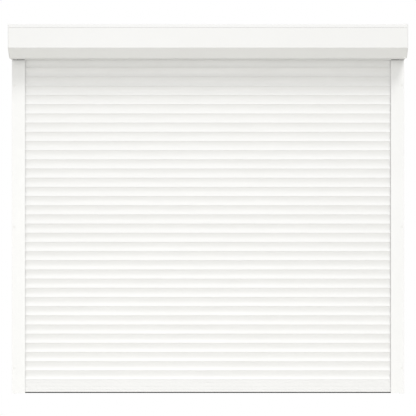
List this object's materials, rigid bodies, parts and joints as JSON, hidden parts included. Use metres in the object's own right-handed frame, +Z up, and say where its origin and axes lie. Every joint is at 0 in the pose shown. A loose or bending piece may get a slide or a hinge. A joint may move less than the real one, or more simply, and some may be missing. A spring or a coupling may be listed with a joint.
{
  "type": "exterior roller shutter",
  "caption": "Front-mounted roller shutter: slope-cornered box with motor and winding shaft, guide rails, hooked slat curtain and sealed bottom bar.",
  "frame": {"origin": "on the wall plane, at the middle of the rails' screw pattern", "axes": "+X along the shaft to the motor end, +Y towards the wall, +Z up"},
  "size_m": [1.665, 0.137, 1.5534],
  "materials": {
    "box_white": "white powder coat on aluminium sheet, satin",
    "cap_white": "white powder coat on die-cast aluminium, satin",
    "rail_white": "white powder coat on extruded aluminium, satin",
    "slat_white": "white lacquer on extruded aluminium, satin",
    "bar_white": "white powder coat on extruded aluminium, satin",
    "plastic_white": "white moulded plastic",
    "plastic_black": "black moulded plastic",
    "plastic_grey": "grey moulded plastic",
    "brush_grey": "grey pile",
    "rubber_black": "black weather seal rubber",
    "motor_black": "black painted steel tube",
    "zinc_steel": "zinc plated steel",
    "bearing_steel": "ground bearing steel",
    "spring_steel": "rolled spring steel",
    "screw_steel": "zinc plated steel"
  },
  "bodies": {
    "frame": {"rear_panel": "box_white", "top_panel": "box_white", "front_panel": "box_white", "inspection_flap": "box_white", "end_cap_left": "cap_white", "end_cap_right": "cap_white", "guide_rail_left": "rail_white", "guide_rail_right": "rail_white", "rail_brushes": "brush_grey", "rail_inlets": "plastic_black", "rail_plugs": "plastic_white", "ball_bearing": "bearing_steel", "bearing_plate": "zinc_steel", "motor_tube": "motor_black", "motor_head": "plastic_grey", "motor_bracket": "zinc_steel", "box_screws": "screw_steel", "cable_grommet": "rubber_black"},
    "shaft": {"winding_shaft": "zinc_steel", "shaft_capsule": "plastic_grey", "motor_adapters": "plastic_black", "curtain_hangers": "spring_steel"},
    "bottom": {"bottom_bar": "bar_white", "bottom_seal": "rubber_black", "bottom_bar_ends": "plastic_black"},
    "row_01": {"slat_01": "slat_white"},
    "row_02": {"slat_02": "slat_white"},
    "row_03": {"slat_03": "slat_white"},
    "row_04": {"slat_04": "slat_white"},
    "row_05": {"slat_05": "slat_white"},
    "row_06": {"slat_06": "slat_white"},
    "row_07": {"slat_07": "slat_white"},
    "row_08": {"slat_08": "slat_white"},
    "row_09": {"slat_09": "slat_white"},
    "row_10": {"slat_10": "slat_white"},
    "row_11": {"slat_11": "slat_white"},
    "row_12": {"slat_12": "slat_white"},
    "row_13": {"slat_13": "slat_white"},
    "row_14": {"slat_14": "slat_white"},
    "row_15": {"slat_15": "slat_white"},
    "row_16": {"slat_16": "slat_white"},
    "row_17": {"slat_17": "slat_white"},
    "row_18": {"slat_18": "slat_white"},
    "row_19": {"slat_19": "slat_white"},
    "row_20": {"slat_20": "slat_white"},
    "row_21": {"slat_21": "slat_white"},
    "row_22": {"slat_22": "slat_white"},
    "row_23": {"slat_23": "slat_white"},
    "row_24": {"slat_24": "slat_white"},
    "row_25": {"slat_25": "slat_white"},
    "row_26": {"slat_26": "slat_white"},
    "row_27": {"slat_27": "slat_white"},
    "row_28": {"slat_28": "slat_white"},
    "row_29": {"slat_29": "slat_white"},
    "row_30": {"slat_30": "slat_white"},
    "row_31": {"slat_31": "slat_white"},
    "row_32": {"slat_32": "slat_white"},
    "row_33": {"slat_33": "slat_white"},
    "row_34": {"slat_34": "slat_white"},
    "row_35": {"slat_35": "slat_white"}
  },
  "joints": [
    {"name": "curtain_lift", "type": "slide", "parent": "frame", "child": "bottom", "axis": [0, 0, 1], "range_m": [0, 1.355], "deforming": ["slat_01", "slat_02", "slat_03", "slat_04", "slat_05", "slat_06", "slat_07", "slat_08", "slat_09", "slat_10", "slat_11", "slat_12", "slat_13", "slat_14", "slat_15", "slat_16", "slat_17", "slat_18", "slat_19", "slat_20", "slat_21", "slat_22", "slat_23", "slat_24", "slat_25", "slat_26", "slat_27", "slat_28", "slat_29", "slat_30", "slat_31", "slat_32", "slat_33", "slat_34", "slat_35", "curtain_hangers"]},
    {"name": "rise_01", "type": "slide", "parent": "frame", "child": "row_01", "axis": [0, 0, 1], "range_m": [0, 0.06333]},
    {"name": "rise_02", "type": "slide", "parent": "frame", "child": "row_02", "axis": [0, 0, 1], "range_m": [0, 0.10077]},
    {"name": "rise_03", "type": "slide", "parent": "frame", "child": "row_03", "axis": [0, 0, 1], "range_m": [0, 0.13821]},
    {"name": "rise_04", "type": "slide", "parent": "frame", "child": "row_04", "axis": [0, 0, 1], "range_m": [0, 0.17565]},
    {"name": "rise_05", "type": "slide", "parent": "frame", "child": "row_05", "axis": [0, 0, 1], "range_m": [0, 0.21309]},
    {"name": "rise_06", "type": "slide", "parent": "frame", "child": "row_06", "axis": [0, 0, 1], "range_m": [0, 0.25053]},
    {"name": "rise_07", "type": "slide", "parent": "frame", "child": "row_07", "axis": [0, 0, 1], "range_m": [0, 0.28797]},
    {"name": "rise_08", "type": "slide", "parent": "frame", "child": "row_08", "axis": [0, 0, 1], "range_m": [0, 0.32541]},
    {"name": "rise_09", "type": "slide", "parent": "frame", "child": "row_09", "axis": [0, 0, 1], "range_m": [0, 0.36285]},
    {"name": "rise_10", "type": "slide", "parent": "frame", "child": "row_10", "axis": [0, 0, 1], "range_m": [0, 0.40029]},
    {"name": "rise_11", "type": "slide", "parent": "frame", "child": "row_11", "axis": [0, 0, 1], "range_m": [0, 0.43773]},
    {"name": "rise_12", "type": "slide", "parent": "frame", "child": "row_12", "axis": [0, 0, 1], "range_m": [0, 0.47517]},
    {"name": "rise_13", "type": "slide", "parent": "frame", "child": "row_13", "axis": [0, 0, 1], "range_m": [0, 0.51261]},
    {"name": "rise_14", "type": "slide", "parent": "frame", "child": "row_14", "axis": [0, 0, 1], "range_m": [0, 0.55005]},
    {"name": "rise_15", "type": "slide", "parent": "frame", "child": "row_15", "axis": [0, 0, 1], "range_m": [0, 0.58749]},
    {"name": "rise_16", "type": "slide", "parent": "frame", "child": "row_16", "axis": [0, 0, 1], "range_m": [0, 0.62493]},
    {"name": "rise_17", "type": "slide", "parent": "frame", "child": "row_17", "axis": [0, 0, 1], "range_m": [0, 0.66237]},
    {"name": "rise_18", "type": "slide", "parent": "frame", "child": "row_18", "axis": [0, 0, 1], "range_m": [0, 0.69981]},
    {"name": "rise_19", "type": "slide", "parent": "frame", "child": "row_19", "axis": [0, 0, 1], "range_m": [0, 0.73725]},
    {"name": "rise_20", "type": "slide", "parent": "frame", "child": "row_20", "axis": [0, 0, 1], "range_m": [0, 0.77469]},
    {"name": "rise_21", "type": "slide", "parent": "frame", "child": "row_21", "axis": [0, 0, 1], "range_m": [0, 0.81213]},
    {"name": "rise_22", "type": "slide", "parent": "frame", "child": "row_22", "axis": [0, 0, 1], "range_m": [0, 0.84957]},
    {"name": "rise_23", "type": "slide", "parent": "frame", "child": "row_23", "axis": [0, 0, 1], "range_m": [0, 0.88701]},
    {"name": "rise_24", "type": "slide", "parent": "frame", "child": "row_24", "axis": [0, 0, 1], "range_m": [0, 0.92445]},
    {"name": "rise_25", "type": "slide", "parent": "frame", "child": "row_25", "axis": [0, 0, 1], "range_m": [0, 0.96189]},
    {"name": "rise_26", "type": "slide", "parent": "frame", "child": "row_26", "axis": [0, 0, 1], "range_m": [0, 0.99933]},
    {"name": "rise_27", "type": "slide", "parent": "frame", "child": "row_27", "axis": [0, 0, 1], "range_m": [0, 1.03677]},
    {"name": "rise_28", "type": "slide", "parent": "frame", "child": "row_28", "axis": [0, 0, 1], "range_m": [0, 1.07421]},
    {"name": "rise_29", "type": "slide", "parent": "frame", "child": "row_29", "axis": [0, 0, 1], "range_m": [0, 1.11165]},
    {"name": "rise_30", "type": "slide", "parent": "frame", "child": "row_30", "axis": [0, 0, 1], "range_m": [0, 1.14909]},
    {"name": "rise_31", "type": "slide", "parent": "frame", "child": "row_31", "axis": [0, 0, 1], "range_m": [0, 1.18653]},
    {"name": "rise_32", "type": "slide", "parent": "frame", "child": "row_32", "axis": [0, 0, 1], "range_m": [0, 1.22397]},
    {"name": "rise_33", "type": "slide", "parent": "frame", "child": "row_33", "axis": [0, 0, 1], "range_m": [0, 1.26141]},
    {"name": "rise_34", "type": "slide", "parent": "frame", "child": "row_34", "axis": [0, 0, 1], "range_m": [0, 1.29885]},
    {"name": "rise_35", "type": "slide", "parent": "frame", "child": "row_35", "axis": [0, 0, 1], "range_m": [0, 1.33629]},
    {"name": "shaft_turn", "type": "hinge", "parent": "frame", "child": "shaft", "pos_m": [0, -0.0685, 0.7762], "axis": [1, 0, 0], "range_deg": [0, 1800.1]}
  ],
  "couplings": [
    {"joint": "rise_01", "follows": "curtain_lift", "ratio": 0.046731},
    {"joint": "rise_02", "follows": "curtain_lift", "ratio": 0.074362},
    {"joint": "rise_03", "follows": "curtain_lift", "ratio": 0.10199},
    {"joint": "rise_04", "follows": "curtain_lift", "ratio": 0.12962},
    {"joint": "rise_05", "follows": "curtain_lift", "ratio": 0.15726},
    {"joint": "rise_06", "follows": "curtain_lift", "ratio": 0.18489},
    {"joint": "rise_07", "follows": "curtain_lift", "ratio": 0.21252},
    {"joint": "rise_08", "follows": "curtain_lift", "ratio": 0.24015},
    {"joint": "rise_09", "follows": "curtain_lift", "ratio": 0.26778},
    {"joint": "rise_10", "follows": "curtain_lift", "ratio": 0.29541},
    {"joint": "rise_11", "follows": "curtain_lift", "ratio": 0.32304},
    {"joint": "rise_12", "follows": "curtain_lift", "ratio": 0.35067},
    {"joint": "rise_13", "follows": "curtain_lift", "ratio": 0.3783},
    {"joint": "rise_14", "follows": "curtain_lift", "ratio": 0.40593},
    {"joint": "rise_15", "follows": "curtain_lift", "ratio": 0.43356},
    {"joint": "rise_16", "follows": "curtain_lift", "ratio": 0.4612},
    {"joint": "rise_17", "follows": "curtain_lift", "ratio": 0.48883},
    {"joint": "rise_18", "follows": "curtain_lift", "ratio": 0.51646},
    {"joint": "rise_19", "follows": "curtain_lift", "ratio": 0.54409},
    {"joint": "rise_20", "follows": "curtain_lift", "ratio": 0.57172},
    {"joint": "rise_21", "follows": "curtain_lift", "ratio": 0.59935},
    {"joint": "rise_22", "follows": "curtain_lift", "ratio": 0.62698},
    {"joint": "rise_23", "follows": "curtain_lift", "ratio": 0.65461},
    {"joint": "rise_24", "follows": "curtain_lift", "ratio": 0.68224},
    {"joint": "rise_25", "follows": "curtain_lift", "ratio": 0.70988},
    {"joint": "rise_26", "follows": "curtain_lift", "ratio": 0.73751},
    {"joint": "rise_27", "follows": "curtain_lift", "ratio": 0.76514},
    {"joint": "rise_28", "follows": "curtain_lift", "ratio": 0.79277},
    {"joint": "rise_29", "follows": "curtain_lift", "ratio": 0.8204},
    {"joint": "rise_30", "follows": "curtain_lift", "ratio": 0.84803},
    {"joint": "rise_31", "follows": "curtain_lift", "ratio": 0.87566},
    {"joint": "rise_32", "follows": "curtain_lift", "ratio": 0.90329},
    {"joint": "rise_33", "follows": "curtain_lift", "ratio": 0.93092},
    {"joint": "rise_34", "follows": "curtain_lift", "ratio": 0.95855},
    {"joint": "rise_35", "follows": "curtain_lift", "ratio": 0.98618},
    {"joint": "shaft_turn", "follows": "curtain_lift", "rad_per_m": 23.185}
  ]
}
